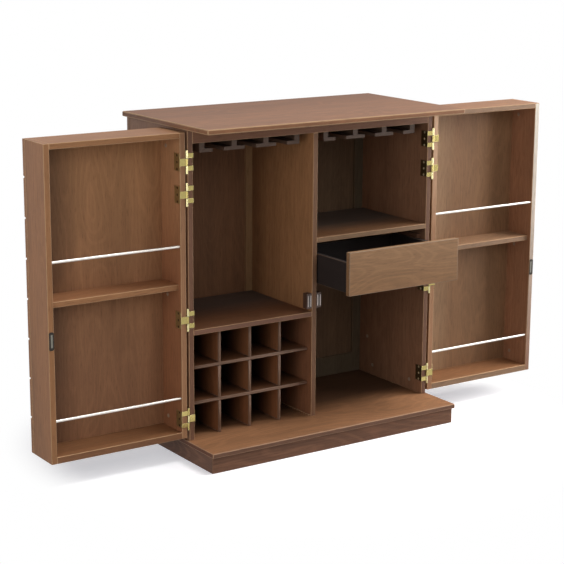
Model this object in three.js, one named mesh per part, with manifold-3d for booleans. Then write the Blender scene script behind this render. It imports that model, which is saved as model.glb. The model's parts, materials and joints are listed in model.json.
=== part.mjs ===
// Bar armoire with two box-shaped doors, a bottle rack, hanging glass rails and one drawer.
// It is drawn as photographed: both doors folded back beside the case, the drawer pulled out.
// Millimetres, Z up, the front towards -Y, the floor at Z = 0.

import * as THREE from 'three';
import { mergeVertices } from 'three/addons/utils/BufferGeometryUtils.js';
import Module from 'manifold-3d';

const wasm = await Module();
wasm.setup();

// Case sizes
const overall_height = 914;
const case_width = 808;
const case_depth = 326;
const case_board = 15;
const foot_bead = 5;
const foot_bead_setback = 4;
const shelf_board = 14;
const top_thickness = 14;
const top_side_overhang = 15;
const top_front_reach = 126;
const plinth_height = 45;
const plinth_board = 16;
const plinth_side_setback = 3.5;
const plinth_front_setback = 9;
const base_thickness = 13;
const base_side_overhang = 6;
const base_front_reach = 130.5;
const front_rail_height = 38;
const back_thickness = 18;
const back_stile_width = 45;
const back_mullion_width = 60;
const back_rail_width = 60;
const back_panel_thickness = 6;

// Heights inside the case
const right_shelf_height = 498.5;

// Bottle rack
const rack_setback = 20;
const rack_board = 9.3;
const rack_tiers = [90, 89.7, 92.2];
const rack_play = 0.3;
const rack_columns = 4;

// Hanging glass racks
const glass_rack_board = 6;
const glass_rail_front_gap = 5;
const glass_rail_drop = 67;
const glass_rail_flange = 10;
const glass_rail_stem = 16;
const glass_rail_end_width = 41;
const glass_rail_middle_width = 65;
const glass_rail_slot = 35;

// Drawer
const drawer_out = 151;
const drawer_side_play = 2;
const drawer_front_thickness = 16;
const drawer_head_gap = 2.2;
const drawer_front_height = 120.8;
const drawer_side_inset = 2.5;
const drawer_side_thickness = 12;
const drawer_side_drop = 29.8;
const drawer_side_height = 84.5;
const drawer_bottom_thickness = 6;
const drawer_bottom_raise = 6;
const drawer_groove_depth = 5;
const drawer_back_drop = 6;
const drawer_back_clearance = 8;
const runner_width = 14.5;
const runner_height = 12;
const runner_web = 2;
const runner_setback = 20;
const runner_play = 0.5;
const kicker_play = 1;

// Doors
const door_fold_gap = 7;
const door_closed_gap = 2;
const door_meeting_gap = 5;
const door_foot_gap = 9;
const door_head_gap = 7;
const door_depth = 120;
const door_stile = 16;
const door_top_board = 15;
const door_bottom_board = 18;
const door_shelf_board = 15;
const door_shelf_over_hinge = 81;
const door_shelf_setback = 12.5;
const liner_thickness = 6;
const plank_thickness = 14;
const plank_pitch = 105.2;
const plank_gap = 5;
const plank_groove_depth = 6;
const plank_count = 8;
const rod_radius = 3.1;
const rod_setback = 7;
const upper_rod_share = 0.2662;
const lower_rod_share = 0.2418;
const rod_seat_depth = 6;
const rod_play = 0.3;
const knob_edge_distance = 40;
const knob_length = 24;
const knob_head_radius = 12;
const knob_neck_radius = 5;
const knob_foot_radius = 7.5;

// Magnetic catches
const catch_height = 43;
const catch_width = 16.5;
const catch_depth = 19;
const catch_over_left_shelf = 9;
const catch_under_drawer = 19;
const catch_setback = 1;
const pole_width = 12;
const pole_height = 32;
const pole_reach = 1.4;
const pole_offset = 2.5;
const strike_width = 14;
const strike_height = 48;
const strike_thickness = 0.8;
const strike_let_in = 1.2;
const strike_inset = 1;
const strike_corner = 5;

// Wrap-round butt hinges
const top_hinge_shares = [0.0938, 0.1973];
const hinge_over_left_shelf = 8.5;
const hinge_under_runner = 10.5;
const bottom_hinge_rise = 53.5;
const hinge_leaf_height = 46;
const hinge_leaf_depth = 28;
const hinge_leaf_thickness = 1.5;
const knuckle_radius = 3.2;
const knuckle_bore_radius = 2.15;
const knuckle_height = 19.4;
const knuckle_play = 0.4;
const pin_radius = 1.8;
const pin_head_height = 1;

// Facets on the round pieces
const round_sides = 24;
const strike_facets = 6;
const knob_sides = 32;

// Planes shared by the pieces
const case_front = (drawer_out - case_depth) / 2;
const case_back = case_front + case_depth;
const back_inner = case_back - back_thickness;
const half_width = case_width / 2;
const half_inside = half_width - case_board;
const half_divider = case_board / 2;
const base_top = plinth_height + base_thickness;
const top_underside = overall_height - top_thickness;
const front_rail_underside = top_underside - front_rail_height;
const bay_width = half_inside - half_divider;
const rack_lower_shelf = base_top + rack_tiers[0];
const rack_upper_shelf = rack_lower_shelf + rack_board + rack_tiers[1];
const left_shelf_underside = rack_upper_shelf + rack_board + rack_tiers[2];
const right_shelf_underside = base_top + right_shelf_height;
const glass_rail_underside = top_underside - glass_rail_drop;
const drawer_front_top = right_shelf_underside - drawer_head_gap;
const drawer_front_bottom = drawer_front_top - drawer_front_height;
const drawer_side_top = drawer_front_top - drawer_side_drop;
const drawer_side_bottom = drawer_side_top - drawer_side_height;
const door_bottom = base_top + door_foot_gap;
const door_top = top_underside - door_head_gap;
const door_height = door_top - door_bottom;
const door_middle = (door_bottom + door_top) / 2;
const top_hinges = top_hinge_shares.map((share) => door_top - share * door_height);
const left_shelf_top = left_shelf_underside + shelf_board;
const runner_underside = drawer_side_bottom - runner_play - runner_height;
const left_third_hinge = left_shelf_top + hinge_over_left_shelf + hinge_leaf_height / 2;
const right_third_hinge = runner_underside - hinge_under_runner - hinge_leaf_height / 2;
const bottom_hinge = door_bottom + bottom_hinge_rise;
const left_catch = left_shelf_top + catch_over_left_shelf + catch_height / 2;
const right_catch = drawer_front_bottom - catch_under_drawer - catch_height / 2;
const door_width = half_width - door_meeting_gap / 2;
const door_near = half_width + door_fold_gap;
const door_far = door_near + door_width;
const hinge_axis_x = half_width + door_fold_gap / 2;
const hinge_axis_y = case_front - door_closed_gap / 2;
const door_back = case_front + door_depth;
const door_frame_back = door_back - plank_thickness;
const door_liner_front = door_frame_back - liner_thickness;
const barrel_half = knuckle_height * 3 / 2 + knuckle_play;

const group = new THREE.Group();
group.name = 'bar_armoire';

// Finishes
function finish(colour, roughness, metalness) {
  const look = { color: colour, roughness: roughness, metalness: metalness };
  return () => new THREE.MeshStandardMaterial(look);
}

const walnut = finish(0x7a5138, 0.45, 0);
const walnut_light = finish(0x8f6544, 0.45, 0);
const walnut_dark = finish(0x573526, 0.5, 0);
const drawer_stain = finish(0x2f2723, 0.6, 0);
const brass = finish(0xc9a75a, 0.25, 1);
const steel = finish(0xc4c6c8, 0.2, 1);
const bronze = finish(0x5a4a3a, 0.35, 1);
const brown_plastic = finish(0x4a3328, 0.5, 0);

// Ways to place and shape material
function add(name, geometry, material) {
  const mesh = new THREE.Mesh(geometry, material());
  mesh.name = name;
  group.add(mesh);
}

function block(x, y, z) {
  const x0 = Math.min(x[0], x[1]);
  const x1 = Math.max(x[0], x[1]);
  const geometry = new THREE.BoxGeometry(x1 - x0, y[1] - y[0], z[1] - z[0]);
  geometry.translate((x0 + x1) / 2, (y[0] + y[1]) / 2, (z[0] + z[1]) / 2);
  return geometry;
}

function mirror_x(x, side) {
  return [side * x[0], side * x[1]];
}

function upright_round(radius, x, y, z) {
  const geometry = new THREE.CylinderGeometry(radius, radius, z[1] - z[0], round_sides);
  geometry.rotateX(Math.PI / 2);
  geometry.translate(x, y, (z[0] + z[1]) / 2);
  return geometry;
}

function level_round(radius, x, y, z) {
  const x0 = Math.min(x[0], x[1]);
  const x1 = Math.max(x[0], x[1]);
  const geometry = new THREE.CylinderGeometry(radius, radius, x1 - x0, round_sides);
  geometry.rotateZ(Math.PI / 2);
  geometry.translate((x0 + x1) / 2, y, z);
  return geometry;
}

function to_solid(geometry) {
  const plain = geometry.clone();
  plain.deleteAttribute('normal');
  plain.deleteAttribute('uv');
  const merged = mergeVertices(plain);
  const position = merged.getAttribute('position').array;
  const index = merged.getIndex().array;
  const mesh = new wasm.Mesh({
    numProp: 3,
    vertProperties: new Float32Array(position),
    triVerts: new Uint32Array(index),
  });
  return new wasm.Manifold(mesh);
}

function from_solid(solid) {
  const mesh = solid.getMesh();
  const geometry = new THREE.BufferGeometry();
  geometry.setAttribute('position', new THREE.BufferAttribute(new Float32Array(mesh.vertProperties), 3));
  geometry.setIndex(new THREE.BufferAttribute(new Uint32Array(mesh.triVerts), 1));
  geometry.computeVertexNormals();
  return geometry;
}

function joined(parts, cuts) {
  let solid = to_solid(parts[0]);
  for (const part of parts.slice(1)) {
    solid = solid.add(to_solid(part));
  }
  for (const cut of cuts) {
    solid = solid.subtract(to_solid(cut));
  }
  return from_solid(solid);
}

// Heights that follow the side, and the doors' two levels between their boards
function hinge_places(side) {
  return [...top_hinges, side < 0 ? left_third_hinge : right_third_hinge, bottom_hinge];
}

function catch_place(side) {
  return side < 0 ? left_catch : right_catch;
}

function door_shelf_underside(side) {
  return (side < 0 ? left_third_hinge : right_third_hinge) + door_shelf_over_hinge;
}

// Plinth, a ring of four glued boards, and the base board that the case stands on
function add_base() {
  const half_base = half_width + base_side_overhang;
  const half_plinth = half_base - plinth_side_setback;
  const base_front = case_front - base_front_reach;
  const plinth_front = base_front + plinth_front_setback;
  const plinth_back = case_back - plinth_side_setback;
  const z = [0, plinth_height];
  const board_z = [plinth_height, base_top];
  const inside = half_plinth - plinth_board;
  const body = block([-half_plinth, half_plinth], [plinth_front, plinth_back], z);
  const inside_y = [plinth_front + plinth_board, plinth_back - plinth_board];
  const hollow = block([-inside, inside], inside_y, [-plinth_board, plinth_height + plinth_board]);
  add('plinth', joined([body], [hollow]), walnut_dark);
  add('base_board', block([-half_base, half_base], [base_front, case_back], board_z), walnut_light);
}

// Sides, centre divider with the bead at its foot, front rail and top of the case
function add_case() {
  const upright = [base_top, top_underside];
  const deep = [case_front, back_inner];
  add('side_left', block([-half_width, -half_inside], deep, upright), walnut);
  add('side_right', block([half_inside, half_width], deep, upright), walnut);
  const divider = block([-half_divider, half_divider], deep, upright);
  const rail_y = [case_front, case_front + case_board];
  const rail_z = [front_rail_underside, top_underside];
  const over_y = [case_front - case_board, case_front + case_board];
  const over_z = [front_rail_underside, top_underside + case_board];
  const rail_notch = block([-case_board, case_board], over_y, over_z);
  const bead_x = [-half_divider - foot_bead, 0];
  const bead_y = [case_front + foot_bead_setback, back_inner];
  const bead = block(bead_x, bead_y, [base_top, base_top + foot_bead]);
  add('centre_divider', joined([divider, bead], [rail_notch]), walnut);
  add('front_rail', block([-half_inside, half_inside], rail_y, rail_z), walnut);
  const half_top = half_width + top_side_overhang;
  const top_y = [case_front - top_front_reach, case_back];
  add('top_board', block([-half_top, half_top], top_y, [top_underside, overall_height]), walnut_light);
}

// Framed back in one glued piece: stiles, mullion and rails round two thin panels
function add_back() {
  const y = [back_inner, case_back];
  const recess = (back_thickness - back_panel_thickness) / 2;
  const window_x = [back_mullion_width / 2, half_width - back_stile_width];
  const window_z = [base_top + back_rail_width, top_underside - back_rail_width];
  const cuts = [];
  for (const side of [-1, 1]) {
    const x = mirror_x(window_x, side);
    cuts.push(block(x, [back_inner - recess, back_inner + recess], window_z));
    cuts.push(block(x, [case_back - recess, case_back + recess], window_z));
  }
  add('back', joined([block([-half_width, half_width], y, [base_top, top_underside])], cuts), walnut);
}

// One fixed shelf in each bay
function add_shelves() {
  const y = [case_front, back_inner];
  const left_z = [left_shelf_underside, left_shelf_underside + shelf_board];
  const right_z = [right_shelf_underside, right_shelf_underside + shelf_board];
  add('left_shelf', block([-half_inside, -half_divider], y, left_z), walnut);
  add('right_shelf', block([half_divider, half_inside], y, right_z), walnut);
}

// Bottle rack of three uprights lapped into two shelves
function add_rack() {
  const front = case_front + rack_setback;
  const middle = (front + back_inner) / 2;
  const gaps = rack_columns - 1;
  const cell = (bay_width - gaps * rack_board) / rack_columns;
  const shelves = [rack_lower_shelf, rack_upper_shelf];
  const lefts = [];
  for (let i = 1; i <= gaps; i += 1) {
    lefts.push(-half_inside + i * cell + (i - 1) * rack_board);
  }
  lefts.forEach((left, i) => {
    const body = block([left, left + rack_board], [front, back_inner], [base_top, left_shelf_underside]);
    const cuts = [];
    for (const z of shelves) {
      const wide = [left - rack_board, left + rack_board * 2];
      cuts.push(block(wide, [front - rack_board, middle], [z, z + rack_board + rack_play]));
    }
    add('rack_upright_' + (i + 1), joined([body], cuts), walnut);
  });
  shelves.forEach((z, i) => {
    const body = block([-half_inside, -half_divider], [front, back_inner], [z, z + rack_board]);
    const cuts = [];
    for (const left of lefts) {
      const x = [left - rack_play / 2, left + rack_board + rack_play / 2];
      cuts.push(block(x, [middle, back_inner + rack_board], [z - rack_board, z + rack_board * 2]));
    }
    const name = i === 0 ? 'rack_shelf_lower' : 'rack_shelf_upper';
    add(name, joined([body], cuts), walnut);
  });
}

// Hanging glass racks: an L rail at each end of a bay and two T rails between, under one board
function add_glass_racks() {
  const y = [case_front + case_board + glass_rail_front_gap, back_inner];
  const run = 2 * glass_rail_end_width + 2 * glass_rail_middle_width + 3 * glass_rail_slot;
  const bays = [['left', -half_inside], ['right', half_divider]];
  const middle_widths = [glass_rail_middle_width, glass_rail_middle_width];
  const widths = [glass_rail_end_width, ...middle_widths, glass_rail_end_width];
  for (const [bay, start] of bays) {
    const board_z = [top_underside - glass_rack_board, top_underside];
    const flange_z = [glass_rail_underside, glass_rail_underside + glass_rail_flange];
    const stem_z = [glass_rail_underside, top_underside];
    const parts = [block([start, start + bay_width], y, board_z)];
    let x = start + (bay_width - run) / 2;
    widths.forEach((width, i) => {
      let stem = x + (width - glass_rail_stem) / 2;
      if (i === 0) {
        stem = x;
      }
      if (i === widths.length - 1) {
        stem = x + width - glass_rail_stem;
      }
      parts.push(block([x, x + width], y, flange_z));
      parts.push(block([stem, stem + glass_rail_stem], y, stem_z));
      x += width + glass_rail_slot;
    });
    add('glass_rack_' + bay, joined(parts, []), walnut);
  }
}

// Magnetic catches on both faces of the divider, each a housing with a steel pole in front
function add_catches() {
  const y = [case_front + catch_setback, case_front + catch_setback + catch_depth];
  const pole_x = [half_divider + pole_offset, half_divider + pole_offset + pole_width];
  for (const side of [-1, 1]) {
    const middle = catch_place(side);
    const z = [middle - catch_height / 2, middle + catch_height / 2];
    const pole_z = [middle - pole_height / 2, middle + pole_height / 2];
    const housing = block(mirror_x([half_divider, half_divider + catch_width], side), y, z);
    const pole = block(mirror_x(pole_x, side), [y[0] - pole_reach, y[1]], pole_z);
    add(side < 0 ? 'catch_left' : 'catch_right', joined([housing, pole], []), brown_plastic);
  }
}

// Drawer, drawn pulled out, and the channel runners that carry it
function add_drawer() {
  const front_y = [case_front - drawer_out, case_front - drawer_out + drawer_front_thickness];
  const box_y = [front_y[1], back_inner - drawer_back_clearance - drawer_out];
  const x = [half_divider + drawer_side_play, half_inside - drawer_side_play];
  const box_x = [x[0] + drawer_side_inset, x[1] - drawer_side_inset];
  const box_z = [drawer_side_bottom, drawer_side_top];
  const bottom_z = [drawer_side_bottom + drawer_bottom_raise, 0];
  bottom_z[1] = bottom_z[0] + drawer_bottom_thickness;
  add('drawer_front', block(x, front_y, [drawer_front_bottom, drawer_front_top]), walnut_light);
  const inner_x = [box_x[0] + drawer_side_thickness, box_x[1] - drawer_side_thickness];
  const groove_x = [inner_x[0] - drawer_groove_depth, inner_x[1] + drawer_groove_depth];
  const groove_y = [box_y[0] - drawer_side_thickness, box_y[1] + drawer_side_thickness];
  const groove = block(groove_x, groove_y, bottom_z);
  const left_side = block([box_x[0], inner_x[0]], box_y, box_z);
  add('drawer_side_left', joined([left_side], [groove]), drawer_stain);
  const right_side = block([inner_x[1], box_x[1]], box_y, box_z);
  add('drawer_side_right', joined([right_side], [groove]), drawer_stain);
  const back_y = [box_y[1] - drawer_side_thickness, box_y[1]];
  const back_z = [bottom_z[1], drawer_side_top - drawer_back_drop];
  add('drawer_back', block(inner_x, back_y, back_z), drawer_stain);
  add('drawer_bottom', block(groove_x, box_y, bottom_z), drawer_stain);
  const run_y = [case_front + runner_setback, back_inner];
  const ledge_z = [runner_underside, runner_underside + runner_height];
  const kicker_z = [drawer_side_top + kicker_play, drawer_side_top + kicker_play + runner_height];
  const ends = [['left', half_divider, 1], ['right', half_inside, -1]];
  for (const [name, wall, inward] of ends) {
    const wide = [wall, wall + inward * runner_width];
    const web = [wall, wall + inward * runner_web];
    const parts = [block(wide, run_y, ledge_z), block(wide, run_y, kicker_z)];
    parts.push(block(web, run_y, [ledge_z[0], kicker_z[1]]));
    add('drawer_runner_' + name, joined(parts, []), walnut_dark);
  }
}

// One hinge leaf: a plate inside the board, straps round its edge and knuckles on the axis.
// A middle leaf carries the centre knuckle, an outer leaf the two end ones.
function hinge_leaf(side, towards, height, middle) {
  const axis_x = side * hinge_axis_x;
  const edge = axis_x + towards * door_fold_gap / 2;
  const inner = edge + towards * (towards === -side ? case_board : door_stile);
  const plate_x = [inner, inner + towards * hinge_leaf_thickness];
  const plate_y = [case_front, case_front + hinge_leaf_depth];
  const plate_z = [height - hinge_leaf_height / 2, height + hinge_leaf_height / 2];
  const strap_y = [case_front - hinge_leaf_thickness, case_front];
  const strap_x = [axis_x + towards * pin_radius, plate_x[1]];
  const parts = [block(plate_x, plate_y, plate_z)];
  for (const place of middle ? [0] : [-1, 1]) {
    const centre = height + place * (knuckle_height + knuckle_play);
    const z = [centre - knuckle_height / 2, centre + knuckle_height / 2];
    parts.push(block(strap_x, strap_y, [Math.max(z[0], plate_z[0]), Math.min(z[1], plate_z[1])]));
    parts.push(upright_round(knuckle_radius, axis_x, hinge_axis_y, z));
  }
  return parts;
}

// The pin is staked in the case leaf. Its two heads close the barrel.
function hinge_pin(side, height, middle) {
  const axis_x = side * hinge_axis_x;
  const end = barrel_half + (middle ? knuckle_play : 0);
  const tip = barrel_half + knuckle_play + pin_head_height;
  const parts = [upright_round(pin_radius, axis_x, hinge_axis_y, [height - tip, height + tip])];
  parts.push(upright_round(knuckle_radius, axis_x, hinge_axis_y, [height - tip, height - end]));
  parts.push(upright_round(knuckle_radius, axis_x, hinge_axis_y, [height + end, height + tip]));
  return parts;
}

// Four hinges a side. The lowest one on the left was fitted the other way round.
function add_hinges() {
  for (const side of [-1, 1]) {
    const name = side < 0 ? 'left' : 'right';
    const places = hinge_places(side);
    places.forEach((height, i) => {
      const turned = side < 0 && i === places.length - 1;
      const case_leaf = hinge_leaf(side, -side, height, turned);
      const pin = hinge_pin(side, height, turned);
      add(name + '_hinge_' + (i + 1) + '_case_leaf', joined([...case_leaf, ...pin], []), brass);
      const bore_z = [height - barrel_half - knuckle_play, height + barrel_half + knuckle_play];
      const bore = upright_round(knuckle_bore_radius, side * hinge_axis_x, hinge_axis_y, bore_z);
      const door_leaf = hinge_leaf(side, side, height, !turned);
      add(name + '_hinge_' + (i + 1) + '_door_leaf', joined(door_leaf, [bore]), brass);
    });
  }
}

// One door: a box of stiles and boards with a shelf, two rods and a planked panel
function add_door(side) {
  const name = side < 0 ? 'left_door_' : 'right_door_';
  const x = (near, far) => mirror_x([near, far], side);
  const free_inner = door_far - door_stile;
  const hinge_inner = door_near + door_stile;
  const frame_y = [case_front, door_frame_back];
  const tall = [door_bottom, door_top];
  const rod_y = case_front + rod_setback;
  const top_z = [door_top - door_top_board, door_top];
  const bottom_z = [door_bottom, door_bottom + door_bottom_board];
  const shelf_z = [door_shelf_underside(side), door_shelf_underside(side) + door_shelf_board];
  const lower_rod = bottom_z[1] + lower_rod_share * (shelf_z[0] - bottom_z[1]);
  const upper_rod = shelf_z[1] + upper_rod_share * (top_z[0] - shelf_z[1]);
  const seat_radius = rod_radius + rod_play;
  const free_seats = [];
  const hinge_seats = [];
  const free_seat_x = x(free_inner - door_stile, free_inner + rod_seat_depth);
  const hinge_seat_x = x(hinge_inner - rod_seat_depth, hinge_inner + door_stile);
  for (const z of [lower_rod, upper_rod]) {
    free_seats.push(level_round(seat_radius, free_seat_x, rod_y, z));
    hinge_seats.push(level_round(seat_radius, hinge_seat_x, rod_y, z));
  }
  const free_board = block(x(free_inner, door_far), frame_y, tall);
  add(name + 'free_stile', joined([free_board, strike_plate(side)], free_seats), walnut);
  add(name + 'hinge_stile', joined([block(x(door_near, hinge_inner), frame_y, tall)], hinge_seats), walnut);
  const between = x(hinge_inner, free_inner);
  const shelf_y = [case_front + door_shelf_setback, door_liner_front];
  add(name + 'top', block(between, frame_y, top_z), walnut);
  add(name + 'bottom', block(between, frame_y, bottom_z), walnut);
  add(name + 'shelf', block(between, shelf_y, shelf_z), walnut);
  add_panel(name, x(door_near, door_far), between, [bottom_z[1], top_z[0]]);
  const rod_x = x(hinge_inner - rod_seat_depth, free_inner + rod_seat_depth);
  add(name + 'lower_rod', level_round(rod_radius, rod_x, rod_y, lower_rod), steel);
  add(name + 'upper_rod', level_round(rod_radius, rod_x, rod_y, upper_rod), steel);
  add_knob(name, side);
}

// Door panel: a liner inside the box, glued to a facing that is grooved into eight planks
function add_panel(name, x, liner_x, liner_z) {
  const facing = block(x, [door_frame_back, door_back], [door_bottom, door_top]);
  const glue_line = door_frame_back + (plank_thickness - plank_groove_depth) / 2;
  const liner = block(liner_x, [door_liner_front, glue_line], liner_z);
  const groove_x = [x[0] * 2 - x[1], x[1] * 2 - x[0]];
  const groove_y = [door_back - plank_groove_depth, door_back + plank_groove_depth];
  const grooves = [];
  for (let i = 1; i < plank_count; i += 1) {
    const z = door_middle + (i - plank_count / 2) * plank_pitch;
    grooves.push(block(groove_x, groove_y, [z - plank_gap / 2, z + plank_gap / 2]));
  }
  add(name + 'panel', joined([facing, liner], grooves), walnut);
}

// Strike for the magnetic catch, a rounded plate let into the free edge and standing proud of it
function strike_plate(side) {
  const half_w = strike_width / 2;
  const half_h = strike_height / 2;
  const straight_w = half_w - strike_corner;
  const straight_h = half_h - strike_corner;
  const shape = new THREE.Shape();
  shape.absarc(straight_w, straight_h, strike_corner, 0, Math.PI / 2, false);
  shape.absarc(-straight_w, straight_h, strike_corner, Math.PI / 2, Math.PI, false);
  shape.absarc(-straight_w, -straight_h, strike_corner, Math.PI, Math.PI * 1.5, false);
  shape.absarc(straight_w, -straight_h, strike_corner, Math.PI * 1.5, Math.PI * 2, false);
  const depth = strike_thickness + strike_let_in;
  const pressing = { depth: depth, bevelEnabled: false, curveSegments: strike_facets };
  const plate = new THREE.ExtrudeGeometry(shape, pressing);
  plate.rotateX(Math.PI / 2);
  plate.translate(side * (door_far - strike_inset - half_w), case_front + strike_let_in, catch_place(side));
  return plate;
}

// Turned knob on the outside of the door, near its free edge
function add_knob(name, side) {
  const foot = knob_length / 8;
  const shoulder = knob_length / 2;
  const profile = [
    new THREE.Vector2(0, 0),
    new THREE.Vector2(knob_foot_radius, 0),
    new THREE.Vector2(knob_foot_radius, foot),
    new THREE.Vector2(knob_neck_radius, foot * 2),
    new THREE.Vector2(knob_neck_radius, shoulder),
    new THREE.Vector2(knob_head_radius, shoulder + foot),
    new THREE.Vector2(knob_head_radius, knob_length - foot),
    new THREE.Vector2(knob_neck_radius + foot, knob_length),
    new THREE.Vector2(0, knob_length),
  ];
  const geometry = new THREE.LatheGeometry(profile, knob_sides);
  geometry.translate(side * (door_far - knob_edge_distance), door_back, door_middle);
  add(name + 'knob', geometry, bronze);
}

add_base();
add_case();
add_back();
add_shelves();
add_rack();
add_glass_racks();
add_catches();
add_drawer();
add_hinges();
add_door(-1);
add_door(1);

export default group;
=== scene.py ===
"""Bar armoire: finishes, fittings, floor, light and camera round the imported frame.

Metres, Z up, the front towards -Y, the floor at Z = 0. Both doors stand open and the drawer is out.
"""

import json
import math

import bmesh
import bpy
import numpy as np
from mathutils import Matrix, Vector


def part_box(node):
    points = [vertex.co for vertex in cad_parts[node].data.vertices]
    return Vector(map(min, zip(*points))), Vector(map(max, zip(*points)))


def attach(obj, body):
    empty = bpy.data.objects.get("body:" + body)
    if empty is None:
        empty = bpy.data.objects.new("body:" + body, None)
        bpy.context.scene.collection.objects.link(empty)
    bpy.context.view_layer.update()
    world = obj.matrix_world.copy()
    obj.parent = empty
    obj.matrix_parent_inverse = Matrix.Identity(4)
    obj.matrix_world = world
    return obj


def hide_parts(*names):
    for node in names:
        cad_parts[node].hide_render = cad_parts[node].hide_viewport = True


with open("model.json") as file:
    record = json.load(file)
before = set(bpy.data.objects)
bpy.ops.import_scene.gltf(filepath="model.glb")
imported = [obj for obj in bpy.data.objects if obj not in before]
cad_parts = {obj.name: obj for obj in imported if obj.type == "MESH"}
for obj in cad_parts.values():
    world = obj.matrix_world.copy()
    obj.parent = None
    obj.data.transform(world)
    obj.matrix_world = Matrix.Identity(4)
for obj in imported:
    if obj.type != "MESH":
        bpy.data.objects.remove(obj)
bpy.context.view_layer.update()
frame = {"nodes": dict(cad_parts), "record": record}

# A millimetre in metres, and a metre in millimetres.
MM = 0.001
METRE = 1000.0


# Colour and nodes


def linear(code):
    """An sRGB hex colour as linear red, green, blue and alpha."""
    values = [int(code[i : i + 2], 16) / 255 for i in (1, 3, 5)]
    return [v / 12.92 if v <= 0.04045 else ((v + 0.055) / 1.055) ** 2.4 for v in values] + [1.0]


def put(tree, kind, settings=None, **inputs):
    """Adds one node. Settings are its properties. An input is named, or numbered where several
    share a name: a value, an output, or a node whose first live output is joined.
    """
    made = tree.nodes.new(kind)
    for key, value in (settings or {}).items():
        setattr(made, key, value)
    for key, value in inputs.items():
        place = int(key[1:]) if key[1:].isdigit() else key.replace("_", " ")
        if isinstance(value, bpy.types.Node):
            value = next(output for output in value.outputs if output.enabled)
        if isinstance(value, bpy.types.NodeSocket):
            tree.links.new(value, made.inputs[place])
        else:
            made.inputs[place].default_value = value
    return made


# Kinds of node used often.
MAP_RANGE = "ShaderNodeMapRange"
MATH = "ShaderNodeMath"
MIX = "ShaderNodeMix"
NOISE = "ShaderNodeTexNoise"
# Settings of a colour mix that blends, of one that multiplies, and of a product.
BLEND = {"data_type": "RGBA"}
MULTIPLY = {"data_type": "RGBA", "blend_type": "MULTIPLY"}
TIMES = {"operation": "MULTIPLY"}


def material(name, surface, *look, **settings):
    """A material whose surface the function builds in its empty node tree, from the place on the
    object.
    """
    made = bpy.data.materials.new(name)
    made.use_nodes = True
    tree = made.node_tree
    tree.nodes.clear()
    place = put(tree, "ShaderNodeTexCoord").outputs["Object"]
    put(tree, "ShaderNodeOutputMaterial", Surface=surface(tree, place, *look, **settings))
    return made


# Wood finishes

# Sizes of the figure in millimetres, along the grain and across it, then the noise's detail,
# roughness and swirl. Real fibres and pores are finer than a pixel, so they are drawn at a width
# that still shows.
FIGURE_MM = {
    "bands": (1100.0, 67.0, 3.0, 0.55, 0.3),
    "clouds": (140.0, 62.0, 2.0, 0.5, 0.6),
    "hills": (450.0, 110.0, 1.0, 0.4, 0.25),
    "fibres": (250.0, 4.4, 3.0, 0.6, 0.0),
    "hairs": (70.0, 1.2, 2.0, 0.5, 0.0),
    "pores": (26.0, 1.7, 1.0, 0.5, 0.0),
}
# Each layer's share of a board's tone.
TONE_SHARES = {
    "bands": 0.40,
    "clouds": 0.28,
    "rings": 0.05,
    "fibres": 0.46,
    "hairs": 0.24,
    "board": 0.08,
}
# How far the deepest and the palest stain lie from the middle tone, as shares of it.
DEEPEST = 0.38
PALEST = 0.42
# Where arched lines, tone and pores begin and end in what they are read from, and what they give
# there. A pore takes at most 0.3 of the stain that stands in it.
RING_ENDS = {"From_Min": 0.1, "To_Min": -0.3}
TONE_ENDS = {"From_Min": 0.41, "From_Max": 1.05}
PORE_ENDS = {"From_Min": 0.58, "From_Max": 0.72, "To_Max": 0.3}
PORE_STAIN = "#5a4030"
# Satin lacquer: its specular level, how much rougher it is over the fibres, and its relief.
LACQUER_SPECULAR = 0.25
FIBRE_ROUGHNESS = 0.1
WOOD_RELIEF = {"Strength": 0.15, "Distance": 0.2 * MM}


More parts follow.
